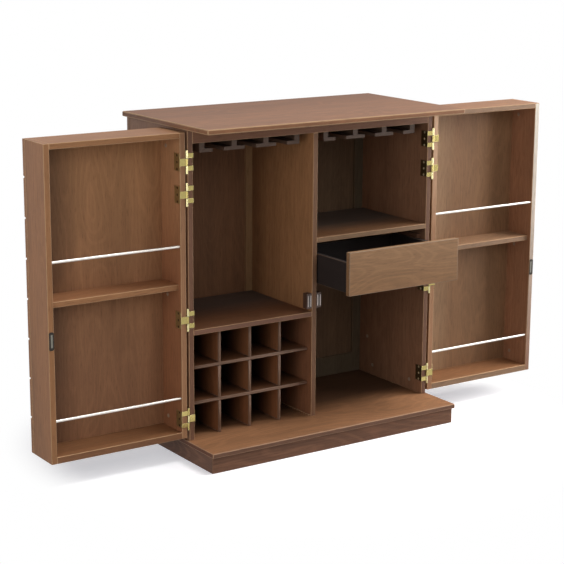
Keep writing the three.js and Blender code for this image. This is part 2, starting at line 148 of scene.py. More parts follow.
def stained_wood(
    tree,
    place,
    code,
    figure=1.0,
    turns=105.0,
    fibre=1.0,
    gloss=0.56,
    depth=1.0,
    fade=None,
    shade=None,
):
    """Walnut veneer stained brown under satin lacquer, low in contrast. The eye sees slow tone
    bands along the board, faint clouds, arched lines where the knife cut across the rings, fine
    fibres and short open pores that hold stain, under a broad weak sheen.

    The code is the board's middle tone. Figure is the strength of the arched lines, turns how close
    they lie, fibre the strength of the fibres, gloss the mean roughness of the lacquer, and depth
    how far dark and light tones lie apart. Fade is an axis of the object, the two places on it, in
    metres, where a second tone begins and ends to take over, and that tone's code. Shade is the
    same with the share of lightness that is left at its end.
    """
    grain = put(tree, "ShaderNodeAttribute", {"attribute_name": "grain"}).outputs["Vector"]
    board = put(tree, "ShaderNodeAttribute", {"attribute_name": "board"}).outputs["Fac"]
    part = {"board": board}
    for key, (along, across, detail, rough, swirl) in FIGURE_MM.items():
        rates = (METRE / along, METRE / across, METRE / across)
        spot = put(tree, "ShaderNodeVectorMath", TIMES, _0=grain, _1=rates)
        shape = {"Detail": detail, "Roughness": rough, "Distortion": swirl}
        part[key] = put(tree, NOISE, Vector=spot, Scale=1.0, **shape)
    rounds = put(tree, MATH, TIMES, _0=part["hills"], _1=turns)
    wave = put(tree, MATH, {"operation": "SINE"}, _0=rounds)
    part["rings"] = put(tree, MAP_RANGE, Value=wave, **RING_ENDS)
    strength = {"rings": figure, "fibres": fibre, "hairs": fibre}
    # Noise has a mean of a half. What weak fibres leave out comes back as an even tone.
    tone = (TONE_SHARES["fibres"] + TONE_SHARES["hairs"]) * (1.0 - fibre) / 2
    add_share = {"operation": "MULTIPLY_ADD"}
    for key, share in TONE_SHARES.items():
        share *= strength.get(key, 1.0)
        tone = put(tree, MATH, add_share, _0=part[key], _1=share, _2=tone)
    ends = {"To_Min": 1.0 - DEEPEST * depth, "To_Max": 1.0 + PALEST * depth}
    lightness = put(tree, MAP_RANGE, Value=tone, **TONE_ENDS, **ends)
    along = put(tree, "ShaderNodeSeparateXYZ", Vector=place).outputs
    if shade:
        axis, start, end, left = shade
        ends = {"From_Min": start, "From_Max": end, "To_Min": 1.0, "To_Max": left}
        kept = put(tree, MAP_RANGE, Value=along[axis], **ends)
        lightness = put(tree, MATH, TIMES, _0=lightness, _1=kept)
    colour = linear(code)
    if fade:
        axis, start, end, other = fade
        taken = put(tree, MAP_RANGE, Value=along[axis], From_Min=start, From_Max=end)
        colour = put(tree, MIX, BLEND, _0=taken, _6=colour, _7=linear(other))
    else:
        colour = colour[:3]
    colour = put(tree, "ShaderNodeVectorMath", TIMES, _0=colour, _1=lightness)
    stain = put(tree, MAP_RANGE, Value=part["pores"], **PORE_ENDS)
    colour = put(tree, MIX, MULTIPLY, _0=stain, _6=colour, _7=linear(PORE_STAIN))

    # Over a fibre of mean height the roughness is the gloss value.
    smooth = gloss - FIBRE_ROUGHNESS / 2
    fibres = part["fibres"]
    rough = put(tree, MATH, add_share, _0=fibres, _1=FIBRE_ROUGHNESS, _2=smooth)
    height = put(tree, MATH, {"operation": "SUBTRACT"}, _0=fibres, _1=stain)
    bump = put(tree, "ShaderNodeBump", Height=height, **WOOD_RELIEF)
    look = {"Base_Color": colour, "Roughness": rough, "Normal": bump}
    return put(tree, "ShaderNodeBsdfPrincipled", Specular_IOR_Level=LACQUER_SPECULAR, **look)


# Each veneered surface by the eye, with its middle tone in even light.
VENEERS = {
    # Warm mid brown, even, upright fibres: the case's own walls.
    "case side": ("#886249", {}),
    # The same cut from a lighter flitch, with painted shade making it darker near the back and
    # below the rack shelf: the wall between the bays.
    "divider": ("#9e714c", {"fade": ("Z", 0.37, 0.33, "#7b5138"), "shade": ("Y", 0.12, 0.2, 0.6)}),
    # Crosswise sheets, redder at the front, with painted shade making them dark and greyish towards
    # the back: the fixed shelves.
    "left shelf": ("#704a32", {"fade": ("Y", 0.0, 0.12, "#554841")}),
    "right shelf": ("#7c583c", {"fade": ("Y", -0.04, 0.06, "#544840")}),
    # Redder and livelier, arched lines running along it, a little darker at the wall: the top.
    "top board": ("#82583b", {"figure": 1.6, "fade": ("Y", -0.1, 0.24, "#6c452b")}),
    # Honey brown at the front, with painted shadow making it darker under the case: the base board.
    "base board": ("#906545", {"figure": 1.8, "fade": ("Y", -0.08, 0.02, "#4d3423")}),
    # Light brown with clear wavy contour lines, a shade lighter towards its top: the drawer front.
    "drawer front": (
        "#836143",
        {"figure": 1.8, "turns": 150.0, "fade": ("Z", 0.45, 0.55, "#8d6b4d")},
    ),
    # Reddish mid brown: the outside and inside faces of the door frames.
    "door frame": ("#946746", {}),
    # A quieter stick, one shade down, with painted light making it lighter towards its top: the
    # stiles at the hinges.
    "hinge stile": ("#8b5d40", {"fade": ("Z", 0.5, 0.84, "#a67a56")}),
    # Paler, greyer sticks, their paleness a painted sheen from the light at the right: the free
    # stile and the shelf of the right door.
    "pale free stile": ("#9c7053", {}),
    "pale door shelf": ("#997659", {}),
    # Redder and darker sticks: the bottoms of the doors.
    "door bottom": ("#845b3c", {}),
    # Wide sheets with soft arches and faint fibres: the liners inside the doors. The left one is
    # honey brown, lighter towards its top with painted light, and darker beside the free stile with
    # its painted shadow. The right one is greyer and paler near the hinges with painted light, and
    # darker towards its free stile and lower down with painted shade.
    "left door liner": (
        "#906649",
        {
            "figure": 1.2,
            "fibre": 0.65,
            "fade": ("Z", 0.25, 0.85, "#a57852"),
            "shade": ("X", -0.67, -0.77, 0.42),
        },
    ),
    "right door liner": (
        "#b99977",
        {"fibre": 0.65, "fade": ("X", 0.42, 0.58, "#866346"), "shade": ("Z", 0.6, 0.45, 0.92)},
    ),
    # Quiet brown, more olive in the right bay: the recessed panels of the back.
    "back panel": ("#7c583e", {"fade": ("X", -0.02, 0.02, "#68523d")}),
    # Plain and lighter, greyer in the right bay: the frame round the panels of the back.
    "frame of the back": ("#9c7955", {"depth": 0.7, "fade": ("X", 0.0, 0.05, "#5f5240")}),
    # One even brown, a little flat: the outside of the back.
    "outside of the back": ("#7f5d43", {"depth": 0.8}),
}
# The rack's gloss, and the painted shade that darkens it to near black into the cells.
PAINTED_CELL_SHADE = {"gloss": 0.45, "fade": ("Y", -0.04, 0.06, "#191210")}
# Other stained wood by the eye.
WOODS = {
    # Brown below and pale above, the pale top a painted sheen: the right door's band beside its
    # hinges.
    "stained edge band of the right hinge stile": (
        "#9a7153",
        {"depth": 0.7, "fade": ("Z", 0.55, 0.86, "#c09c7f")},
    ),
    # The palest band, paler towards its top with painted sheen.
    "edge band of the right free stile with painted sheen": (
        "#8f6b57",
        {"depth": 0.6, "gloss": 0.5, "fade": ("Z", 0.1, 0.86, "#c9c1b3")},
    ),
    # Corners sanded through the stain to a pale golden line. Here and below, the arrises' paleness
    # is partly sanded wear and partly painted highlight.
    "sanded arris": ("#ad8967", {"depth": 0.5}),
    # The base board's corners, sanded less, to a faint line.
    "sanded arris of the base": ("#a48065", {"depth": 0.5}),
    # The door frames' corners, a shade redder.
    "sanded arris of the doors": ("#b58f6b", {"depth": 0.5}),
    # The drawer front's corners, rubbed grey.
    "rubbed arris of the drawer": ("#8d7762", {"depth": 0.5}),
    # Reddish dark brown, slightly glossier: the rack's uprights.
    "stained rack board": ("#7e5134", PAINTED_CELL_SHADE),
    # The rack's shelves, a shade deeper.
    "stained rack shelf": ("#5e3d28", PAINTED_CELL_SHADE),
    # The front edges of both, greyer and paler with painted sheen.
    "stained edge band of the rack": ("#7c6150", PAINTED_CELL_SHADE),
    # Near black-brown, cool: the rails for the glasses.
    "stained glass rail": ("#534034", {"gloss": 0.5}),
    # Dark stained solid wood with strong mottled figure: plinth and runners.
    "stained solid wood": ("#6e4c39", {"figure": 2.2, "depth": 1.6}),
    "stained solid wood, arris": ("#7d5a42", {"depth": 0.5}),
    # Black-brown stain that hides the grain: the drawer box, with edges rubbed brown.
    "black-brown drawer stain": ("#292220", {"figure": 0.5, "gloss": 0.55}),
    "black-brown drawer stain, rubbed edge": ("#5e4d40", {"depth": 0.4}),
}
VENEER = "stained veneer, "
WOODS |= {VENEER + name: look for name, look in VENEERS.items()}
# Tones of the edge bands, thin and even strips of veneer glued along front edges.
BANDS = {
    # Grey brown: the bands of the case.
    "case": "#6b4b39",
    "divider": "#72523c",
    "front rail": "#77513a",
    "left shelf": "#755342",
    "right shelf": "#84674d",
    # Redder: the band round the short side of the base board.
    "base side": "#633b25",
    # Warm and slightly golden at the left, greyer and paler at the right with painted sheen: the
    # bands of the doors.
    "left door": "#926745",
    "left top": "#916643",
    "left bottom": "#7c553a",
    "left hinge stile": "#976e4f",
    "right door": "#866951",
}
BAND = "stained edge band of the "
WOODS |= {BAND + name: (code, {"depth": 0.7}) for name, code in BANDS.items()}


# Metal, plastic and paper

# Hand-dulled metal: the width in millimetres and the colour of its cloudy patches, the noise that
# they and the roughness follow, the least and the most share of its roughness, and its relief.
PATCH_MM = 4.5
DULL = "#c8bfa8"
DULL_ENDS = {"From_Min": 0.35, "From_Max": 0.75, "To_Max": 0.35}
ROUGH_ENDS = {"From_Min": 0.3, "From_Max": 0.7}
ROUGH_SHARES = (0.85, 1.25)
METAL_RELIEF = {"Strength": 0.08, "Distance": 0.1 * MM}
# Moulded plastic: the mould's grain and the width of the faint clouds in millimetres, the clouds'
# colour and the noise that they follow, and the relief of the grain.
SPARK_MM = 0.4
CLOUD_MM = 17.0
CLOUD = "#b8b0a8"
CLOUD_ENDS = {"From_Min": 0.3, "From_Max": 0.7, "To_Max": 0.3}
MOULD_RELIEF = {"Strength": 0.2, "Distance": 0.1 * MM}


def metal(tree, place, code, rough):
    """Bare or lacquered metal. The eye sees clean reflections, softened in cloudy patches a few
    millimetres wide where hands have dulled it.
    """
    marks = put(tree, NOISE, Vector=place, Scale=METRE / PATCH_MM, Detail=3.0)
    dulled = put(tree, MAP_RANGE, Value=marks, **DULL_ENDS)
    tint = put(tree, MIX, MULTIPLY, _0=dulled, _6=linear(code), _7=linear(DULL))
    least, most = (rough * share for share in ROUGH_SHARES)
    ends = {"To_Min": least, "To_Max": most}
    roughness = put(tree, MAP_RANGE, Value=marks, **ROUGH_ENDS, **ends)
    bump = put(tree, "ShaderNodeBump", Height=marks, **METAL_RELIEF)
    look = {"Base_Color": tint, "Metallic": 1.0, "Roughness": roughness, "Normal": bump}
    return put(tree, "ShaderNodeBsdfPrincipled", **look)


def moulded(tree, place, code, rough):
    """Injection moulded plastic. The eye sees an even colour, faintly cloudy, under the soft gloss
    that a spark-eroded mould leaves.
    """
    spark = put(tree, NOISE, Vector=place, Scale=METRE / SPARK_MM, Detail=2.0)
    cloud = put(tree, NOISE, Vector=place, Scale=METRE / CLOUD_MM, Detail=2.0)
    clouded = put(tree, MAP_RANGE, Value=cloud, **CLOUD_ENDS)
    colour = put(tree, MIX, MULTIPLY, _0=clouded, _6=linear(code), _7=linear(CLOUD))
    bump = put(tree, "ShaderNodeBump", Height=spark, **MOULD_RELIEF)
    return put(tree, "ShaderNodeBsdfPrincipled", Base_Color=colour, Roughness=rough, Normal=bump)


# The paper's own glow to the camera and its colour, where it passes into the background in metres
# from the middle, its felt's two tones and grain in millimetres, and the grey that it throws back.
FLOOR_GLOW = 0.45
GLOW = "#f6f8ff"
SHADOW_ENDS = {"From_Min": 0.66, "From_Max": 0.84}
FELT = {"_6": "#e6e4e3", "_7": "#eceae9"}
FELT_MM = 1.1
THROWN = "#878583"


def white_to(tree):
    """The light path's outputs, and 1 for the rays that should find the background white: the
    camera's, mirrored and passing ones.
    """
    path = put(tree, "ShaderNodeLightPath").outputs
    seen = path["Is Camera Ray"]
    for ray in ("Is Glossy Ray", "Is Transmission Ray"):
        seen = put(tree, MATH, {"operation": "MAXIMUM"}, _0=seen, _1=path[ray])
    return path, seen


def studio_paper(tree, place):
    """Matt white paper. The eye sees an even white floor with the armoire's soft shadow, passing
    into the white background. The light that it throws back is greyer, so that the undersides
    stay dark.
    """
    path, seen = white_to(tree)
    away = put(tree, "ShaderNodeVectorMath", {"operation": "LENGTH"}, _0=place).outputs["Value"]
    smooth = {"interpolation_type": "SMOOTHSTEP"}
    far = put(tree, MAP_RANGE, smooth, Value=away, **SHADOW_ENDS)
    felt = put(tree, NOISE, Vector=place, Scale=METRE / FELT_MM, Detail=2.0)
    tones = {key: linear(code) for key, code in FELT.items()}
    pale = put(tree, MIX, BLEND, _0=felt, **tones)
    back = path["Is Diffuse Ray"]
    thrown = put(tree, MIX, BLEND, _0=back, _6=pale, _7=linear(THROWN))
    paper = put(tree, "ShaderNodeBsdfDiffuse", Color=thrown)
    glow = put(tree, MATH, TIMES, _0=seen, _1=FLOOR_GLOW)
    shine = put(tree, "ShaderNodeEmission", Color=linear(GLOW), Strength=glow)
    near = put(tree, "ShaderNodeAddShader", _0=paper, _1=shine)
    shown = put(tree, MATH, TIMES, _0=seen, _1=far)
    white = put(tree, "ShaderNodeEmission", Strength=1.0)
    return put(tree, "ShaderNodeMixShader", _0=shown, _1=near, _2=white)


# Metals by the eye: colour and roughness.
METALS = {
    # Yellow straps with a soft shine, white where they mirror the studio.
    "polished brass strap": ("#b0a166", 0.22),
    # The barrel's outer knuckles, cream with a painted highlight, because a cylinder mirrors every
    # lamp.
    "polished brass barrel": ("#d2c898", 0.24),
    # Rims of the straps, rounded by the press, pale yellow with painted highlight.
    "polished brass rim": ("#b8ac7c", 0.26),
    # Plates let into the wood, dulled and brownish.
    "dulled brass plate": ("#b09d70", 0.45),
    # The case's plates, darker still with painted shade, because they lie in deep shade.
    "brass plate with painted shade": ("#6d5c40", 0.45),
    # The plates' thin front edges, with painted shade as dark brown as the wood beside them.
    "brass edge with painted shade": ("#5a4334", 0.5),
    # Screws of the doors' plates, dark brown with painted shade.
    "brass screw with painted shade": ("#4a3d30", 0.5),
    # Screws of the case's plates, left bright, pale dots on the dark plate.
    "bright brass screw": ("#ead9b0", 0.55),
    # Bright rods, nearly white under studio light.
    "polished steel rod": ("#d3cfc9", 0.34),
    # Poles of the catches, silver grey with worn edges.
    "zinc-plated pole plate": ("#a09692", 0.45),
    # Strike plates, dark grey, with a pressed rib painted brighter as highlight.
    "dark nickel plate": ("#3d3834", 0.4),
    "nickel rib with painted highlight": ("#7c7a72", 0.38),
    # Knobs, dark brown with warm highlights.
    "dark bronze": ("#5d4c3b", 0.35),
}

# Plastics and ceramics by the eye: colour and roughness.
PLASTICS = {
    # Magnets: near-black ceramic, matt.
    "ceramic magnet": ("#4a4442", 0.5),
    # Catch housings: dark brown, satin.
    "brown catch housing": ("#4c352a", 0.45),
    # Press-in covers: small warm grey dots on the wood.
    "grey fitting cover": ("#9a8672", 0.4),
    # Washers between the knuckles: black lines across the barrel, their black a painted shade for
    # the gaps.
    "black washer with painted gap shade": ("#1b1814", 0.5),
}

FINISH = {
    name: material(name, stained_wood, code, **settings) for name, (code, settings) in WOODS.items()
}
FINISH |= {name: material(name, metal, *look) for name, look in METALS.items()}
FINISH |= {name: material(name, moulded, *look) for name, look in PLASTICS.items()}


# Boards and fittings from the frame

# Points closer than this are one, and faces that turn less than this are one flat.
DOUBLES = 0.005 * MM
FLAT = math.radians(0.5)
# An edge that turns more than this is a corner to round.
CORNER = math.radians(30)
# An edge takes its arris if it is this many times as long as the arris is wide. The usual width in
# millimetres, and the flats that round it.
ARRIS_ROOM = 3.2
ARRIS_MM = 1.2
ARRIS_FLATS = 2
# Shading breaks at edges that turn more than this, on boards and on fittings.
BOARD_CREASE = math.radians(32)
FITTING_CREASE = math.radians(40)
# Sine waves that give each board its own step in the grain, along it and twice across, and its own
# tone: rate, phase and, for the step, reach in metres.
STEP_RATE, STEP_PHASE, STEP_REACH = np.array(
    ((12.9, 78.2, 37.7), (1.0, 2.0, 3.0), (3.0, 0.3, 0.3))
)
TONE_RATE, TONE_PHASE = 45.3, 4.0
# Seeds of the boards lie this far apart, with room for the boards inside one solid.
SEED_ROOM = 17


def add_object(name, data):
    """An object with the data, in the scene."""
    made = bpy.data.objects.new(name, data)
    bpy.context.scene.collection.objects.link(made)
    return made


def merged(node):
    """The node's solid as one skin: doubles merged and flat faces made whole."""
    skin = bmesh.new()
    skin.from_mesh(frame["nodes"][node].data)
    bmesh.ops.remove_doubles(skin, verts=skin.verts, dist=DOUBLES)
    bmesh.ops.dissolve_limit(skin, angle_limit=FLAT, verts=skin.verts, edges=skin.edges)
    bmesh.ops.recalc_face_normals(skin, faces=skin.faces)
    return skin


def read(items, field, width, kind=float):
    """A field of each of a mesh's items, as rows of the width."""
    values = np.empty(len(items) * width, dtype=kind)
    items.foreach_get(field, values)
    return values.reshape(-1, width)


def grain_marks(mesh, rule, seed):
    """Writes each face's board coordinates: x along the grain, y and z across it, moved by a step
    that belongs to the board, so that no two boards carry the same figure. Board is its own tone,
    0 to 1.
    """
    faces = mesh.polygons
    axis, group = rule(read(faces, "center", 3), read(faces, "normal", 3))
    totals = read(faces, "loop_total", 1, int)[:, 0]
    axis = np.repeat(axis, totals)
    group = np.repeat(group, totals)
    corner = read(mesh.loops, "vertex_index", 1, int)[:, 0]
    place = read(mesh.vertices, "co", 3)[corner]
    rows = np.arange(len(corner))
    turned = np.stack([place[rows, (axis + k) % 3] for k in range(3)], axis=1)
    key = group + seed * SEED_ROOM
    step = np.sin(key[:, None] * STEP_RATE + STEP_PHASE) * STEP_REACH
    tone = (np.sin(key * TONE_RATE + TONE_PHASE) + 1) / 2
    grain = mesh.attributes.new("grain", "FLOAT_VECTOR", "CORNER")
    grain.data.foreach_set("vector", (turned + step).astype(np.float32).ravel())
    board = mesh.attributes.new("board", "FLOAT", "CORNER")
    board.data.foreach_set("value", tone.astype(np.float32))


# Beyond this X a face of the plinth is on a side board.
PLINTH_SIDE = 390.5 * MM
# Width of the back's rails, and how far from its middle plane a flat face is still a panel's.
RAIL_WIDTH = 59.0 * MM
PANEL_DEPTH = 5.0 * MM
# A face looks along an axis if its normal has at least this share there, and leans that way if it
# has more than the second.
FACING = 0.9
LEANING = 0.5
# Group of the first plank above the middle of a door.
PLANK_GROUP = 10


def one_way(axis):
    """Every face belongs to one board whose grain runs along the axis."""
    return lambda centre, normal: (np.full(len(centre), axis), np.zeros(len(centre), dtype=int))


def plinth_rule(centre, normal):
    """Front and back boards run along X between the two sides, which run along Y."""
    side = np.abs(centre[:, 0]) > PLINTH_SIDE
    axis = np.where(side, 1, 0)
    group = np.where(side, np.where(centre[:, 0] > 0, 1, 2), np.where(centre[:, 1] > 0, 3, 4))
    return axis, group


def back_rule(centre, normal):
    """Stiles, mullion and panels run upright, the rails across."""
    low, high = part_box("back")
    rail = (centre[:, 2] > high.z - RAIL_WIDTH) | (centre[:, 2] < low.z + RAIL_WIDTH)
    flat = np.abs(normal[:, 1]) > LEANING
    axis = np.where(rail & ~flat, 0, 2)
    depth = np.abs(centre[:, 1] - (low.y + high.y) / 2)
    panel = flat & (depth < PANEL_DEPTH)
    group = np.where(panel, np.where(centre[:, 0] > 0, 1, 2), 3)
    return axis, group


def door_panel_rule(centre, normal):
    """The liner's grain is upright. The planks outside run across, each one a board of its own."""
    outside = centre[:, 1] > DOOR_FRAME_BACK
    plank = np.floor((centre[:, 2] - DOOR_MIDDLE) / PLANK_PITCH).astype(int)
    return np.where(outside, 0, 2), np.where(outside, plank + PLANK_GROUP, 1)


def sides_touched(edge, box):
    """How many sides of the box the edge lies in."""
    return sum(
        all(abs(end.co[axis] - limit[axis]) < HAIR for end in edge.verts)
        for axis in range(3)
        for limit in box
    )


def bevel_edges(skin, shortest, box):
    """Marks the straight outer corners that are long enough to take the arris. With a box, only the
    board's own outline takes it, and the rims of its hinge mortises stay sharp.
    """
    layer = skin.edges.layers.float.new("bevel_weight_edge")
    for edge in skin.edges:
        if len(edge.link_faces) != 2 or edge.calc_length() < shortest:
            continue
        if box and sides_touched(edge, box) < 2:
            continue
        if edge.calc_face_angle_signed(0.0) > CORNER:
            edge[layer] = 1.0


# Material slots of a dressed piece. The last two are those of a hinge leaf.
ARRIS_SLOT = 1
PLATE_SLOT = 2
BARREL_SLOT = 4


def flatten(mesh, curved):
    """Gives each face its own flat normal, so that no shading runs out of a bore or a notch. Only
    the curved material slots stay smooth.
    """
    normals = read(mesh.corner_normals, "vector", 3)
    for polygon in mesh.polygons:
        if polygon.material_index not in curved:
            normals[list(polygon.loop_indices)] = polygon.normal
    mesh.normals_split_custom_set(normals.tolist())


# Each node's material slot and body.
record = frame["record"]
BODY = {node: body for body, nodes in record["behaviour"]["bodies"].items() for node in nodes}


def dress(node, looks, rule, seed, width=ARRIS_MM, special=(), curved=(ARRIS_SLOT,)):
    """A skin over the node with its real arris: each outer corner is rounded, over width in
    millimetres. Looks are the finishes of its faces and of its arrises.

    special lists tests on a face's centre and normal, each with the finish of the faces that pass.
    """
    skin = merged(node)
    mortised = node.startswith("side_") or node.endswith("_hinge_stile")
    bevel_edges(skin, width * MM * ARRIS_ROOM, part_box(node) if mortised else None)
    mesh = bpy.data.meshes.new(node + "_skin")
    skin.to_mesh(mesh)
    skin.free()
    piece = add_object(node + "_skin", mesh)
    for look in looks:
        mesh.materials.append(FINISH[look])
    for place, (test, other) in enumerate(special, start=2):
        mesh.materials.append(FINISH[other])
        for polygon in mesh.polygons:
            if test(polygon.center, polygon.normal):
                polygon.material_index = place
    mesh.shade_smooth()
    mesh.set_sharp_from_angle(angle=BOARD_CREASE)
    arrises = piece.modifiers.new("arris", "BEVEL")
    arrises.limit_method = "WEIGHT"
    arrises.width = width * MM
    arrises.segments = ARRIS_FLATS
    arrises.use_clamp_overlap = False
    arrises.harden_normals = True
    arrises.material = ARRIS_SLOT
    rounded = piece.evaluated_get(bpy.context.evaluated_depsgraph_get())
    piece.data = bpy.data.meshes.new_from_object(rounded)
    piece.modifiers.clear()
    bpy.data.meshes.remove(mesh)
    flatten(piece.data, curved)
    if rule:
        grain_marks(piece.data, rule, seed)
    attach(piece, BODY[node])
    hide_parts(node)
    return piece


# Planes and steps that tell the faces of a solid apart.
HAIR = 0.1 * MM
CASE_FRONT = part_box("side_left")[0].y
BACK_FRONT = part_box("back")[0].y
PANEL_FACE = BACK_FRONT + 6.0 * MM - HAIR
BACK_MIDDLE = BACK_FRONT + 9.5 * MM
DOOR_FRAME_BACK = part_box("left_door_free_stile")[1].y
DOOR_MIDDLE = sum(corner.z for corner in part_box("left_door_panel")) / 2
PLANK_PITCH = 105.2 * MM
HINGE_AXIS_X = 407.5 * MM
BARREL_REACH = 3.4 * MM
BARREL_BACK = CASE_FRONT + 2 * MM
MAGNET_FACE = CASE_FRONT + 0.9 * MM
STRIKE_FACE = CASE_FRONT - 0.01 * MM
PLATE_FACE = CASE_FRONT - HAIR

# Boards with their grain axis, finish, the finish of their arrises and its width in millimetres.
SANDED = "sanded arris"
RACK_EDGE = "stained edge band of the rack"
RAIL = "stained glass rail"
SOLID = "stained solid wood"
SOLID_ARRIS = "stained solid wood, arris"
DRAWER = "black-brown drawer stain"
DRAWER_EDGE = "black-brown drawer stain, rubbed edge"
BOARDS = (
    ("base_board", 0, VENEER + "base board", "sanded arris of the base", 2.0),
    ("side_left side_right", 2, VENEER + "case side", SANDED, ARRIS_MM),
    ("centre_divider", 2, VENEER + "divider", SANDED, ARRIS_MM),
    ("front_rail", 0, VENEER + "case side", SANDED, 1.0),
    ("top_board", 0, VENEER + "top board", SANDED, 3.0),
    ("left_shelf", 0, VENEER + "left shelf", SANDED, ARRIS_MM),
    ("right_shelf", 0, VENEER + "right shelf", SANDED, ARRIS_MM),
    ("rack_upright_1 rack_upright_2 rack_upright_3", 2, "stained rack board", RACK_EDGE, 3.6),
    ("rack_shelf_lower rack_shelf_upper", 0, "stained rack shelf", RACK_EDGE, 3.6),
    ("glass_rack_left glass_rack_right", 1, RAIL, RAIL, ARRIS_MM),
    ("drawer_runner_left drawer_runner_right", 1, SOLID, SOLID_ARRIS, 0.8),
    ("drawer_front", 0, VENEER + "drawer front", "rubbed arris of the drawer", 1.6),
    ("drawer_side_left drawer_side_right", 1, DRAWER, DRAWER_EDGE, ARRIS_MM),
    ("drawer_back", 0, DRAWER, DRAWER_EDGE, 1.0),
    ("drawer_bottom", 0, DRAWER, DRAWER, 0.5),
)


# Tests on a face's centre and normal.


def towards_front(centre, normal):
    return normal.y < -FACING


def at_case_front(centre, normal):
    return towards_front(centre, normal) and centre.y < CASE_FRONT + HAIR


def upright_face(centre, normal):
    return abs(normal.z) < LEANING


def left_end(centre, normal):
    return normal.x < -FACING


def in_front_of(plane):
    """A test: whether the centre lies in front of a Y."""
    return lambda centre, normal: centre.y < plane


def behind(plane):
    """A test: whether the centre lies behind a Y."""
    return lambda centre, normal: centre.y > plane


def plate_edge(centre, normal):
    return towards_front(centre, normal) and abs(centre.y - CASE_FRONT) < HAIR


def barrel_face(centre, normal):
    return abs(abs(centre.x) - HINGE_AXIS_X) < BARREL_REACH and centre.y < BARREL_BACK


# The edge bands along the case's front.
CASE_BANDS = {
    "side_left": "case",
    "side_right": "case",
    "centre_divider": "divider",
    "front_rail": "front rail",
    "left_shelf": "left shelf",
    "right_shelf": "right shelf",
}

# Each stick of a door: grain axis, then finish and front edge, each at the left and the right.
DOOR = VENEER + "door frame"
HINGE_STILE = VENEER + "hinge stile"
DOOR_BOTTOM = VENEER + "door bottom"
# The right free stile's band pales upward with painted sheen.
SHEEN_BAND = "edge band of the right free stile with painted sheen"
LEFT_BAND = BAND + "left door"
# The right door's bands are paler and greyer with painted sheen.
RIGHT_SHEEN_BAND = BAND + "right door"
DOOR_STICKS = {
    "free_stile": (2, (DOOR, VENEER + "pale free stile"), (LEFT_BAND, SHEEN_BAND)),
    "hinge_stile": (
        2,
        (HINGE_STILE, HINGE_STILE),
        (BAND + "left hinge stile", BAND + "right hinge stile"),
    ),
    "top": (0, (DOOR, DOOR), (BAND + "left top", RIGHT_SHEEN_BAND)),
    "bottom": (0, (DOOR_BOTTOM, DOOR_BOTTOM), (BAND + "left bottom", RIGHT_SHEEN_BAND)),
    "shelf": (0, (DOOR, VENEER + "pale door shelf"), (LEFT_BAND, RIGHT_SHEEN_BAND)),
}

# Seeds of the joined solids, of the left door's sticks and of its panel, and how many further on
# the right door's are.
JOINED_SEED = 40
STICK_SEED = 50
PANEL_SEED = 58
DOOR_STEP = 10
# Widths of the arrises in millimetres: door sticks, brass leaves, plastic housings.
STICK_ARRIS = 1.4
BRASS_ARRIS = 0.5
PLASTIC_ARRIS = 0.6
# The sign of each side's X, and its hinges.
SIGN = {"left": -1, "right": 1}
HINGES = {side: [f"{side}_hinge_{i}" for i in range(1, 5)] for side in SIGN}
BACK_PANEL = VENEER + "back panel"
STRAP = "polished brass strap"
HOUSING = "brown catch housing"


def dress_boards():
    """The boards, then the solids that join several boards."""
    boards = [(node, *look) for nodes, *look in BOARDS for node in nodes.split()]
    for seed, (node, axis, finish, arris, width) in enumerate(boards):
        special = []
        if node in CASE_BANDS:
            special = [(at_case_front, BAND + CASE_BANDS[node])]
        elif node == "base_board":
            special = [(upright_face, BAND + "case"), (left_end, BAND + "base side")]
        elif arris == RACK_EDGE:
            special = [(towards_front, RACK_EDGE)]
        dress(node, (finish, arris), one_way(axis), seed, width, special)
    dress("plinth", (SOLID, SOLID_ARRIS), plinth_rule, JOINED_SEED)
    frame_faces = (in_front_of(PANEL_FACE), VENEER + "frame of the back")
    outside = (behind(BACK_MIDDLE), VENEER + "outside of the back")
    looks = (BACK_PANEL, BACK_PANEL)
    dress("back", looks, back_rule, JOINED_SEED, special=[frame_faces, outside])


def dress_doors():
    """The sticks of each door, then its liner and planks."""
    for k, side in enumerate(SIGN):
        for i, (name, (axis, finishes, bands)) in enumerate(DOOR_STICKS.items()):
            node = f"{side}_door_{name}"
            special = [(towards_front, bands[k])]
            if name == "free_stile":
                special.append((in_front_of(STRIKE_FACE), "dark nickel plate"))
            looks = (finishes[k], "sanded arris of the doors")
            seed = STICK_SEED + DOOR_STEP * k + i
            dress(node, looks, one_way(axis), seed, STICK_ARRIS, special)
        node = f"{side}_door_panel"
        special = [(in_front_of(DOOR_FRAME_BACK), VENEER + side + " door liner")]
        seed = PANEL_SEED + DOOR_STEP * k
        dress(node, (DOOR, SANDED), door_panel_rule, seed, special=special)


def dress_leaf(node, plate, knuckle):
    """One leaf of a hinge: strap, rounded rim, plate let into the wood, its edge and knuckles."""
    looks = (STRAP, "polished brass rim")
    special = [
        (behind(PLATE_FACE), plate),
        # The plate edges' brown is painted shade.
        (plate_edge, "brass edge with painted shade"),
        (barrel_face, knuckle),
    ]
    curved = (ARRIS_SLOT, BARREL_SLOT)
    piece = dress(node, looks, None, 0, BRASS_ARRIS, special, curved)
    for polygon in piece.data.polygons:
        if polygon.material_index == ARRIS_SLOT and polygon.center.y > PLATE_FACE:
            polygon.material_index = PLATE_SLOT


def dress_metal():
    """The hinge leaves and the catches."""
    for side in SIGN:
        for hinge in HINGES[side]:
            # The case's plates are darkened with painted shade.
            dress_leaf(hinge + "_case_leaf", "brass plate with painted shade", "polished brass barrel")
            dress_leaf(hinge + "_door_leaf", "dulled brass plate", STRAP)
        magnet = [(in_front_of(MAGNET_FACE), "ceramic magnet")]
        looks = (HOUSING, HOUSING)
        dress("catch_" + side, looks, None, 0, PLASTIC_ARRIS, magnet)


# Turned and pressed fittings

# Corners of a quad in the order that turns it over.
TURNED_OVER = [0, 3, 2, 1]


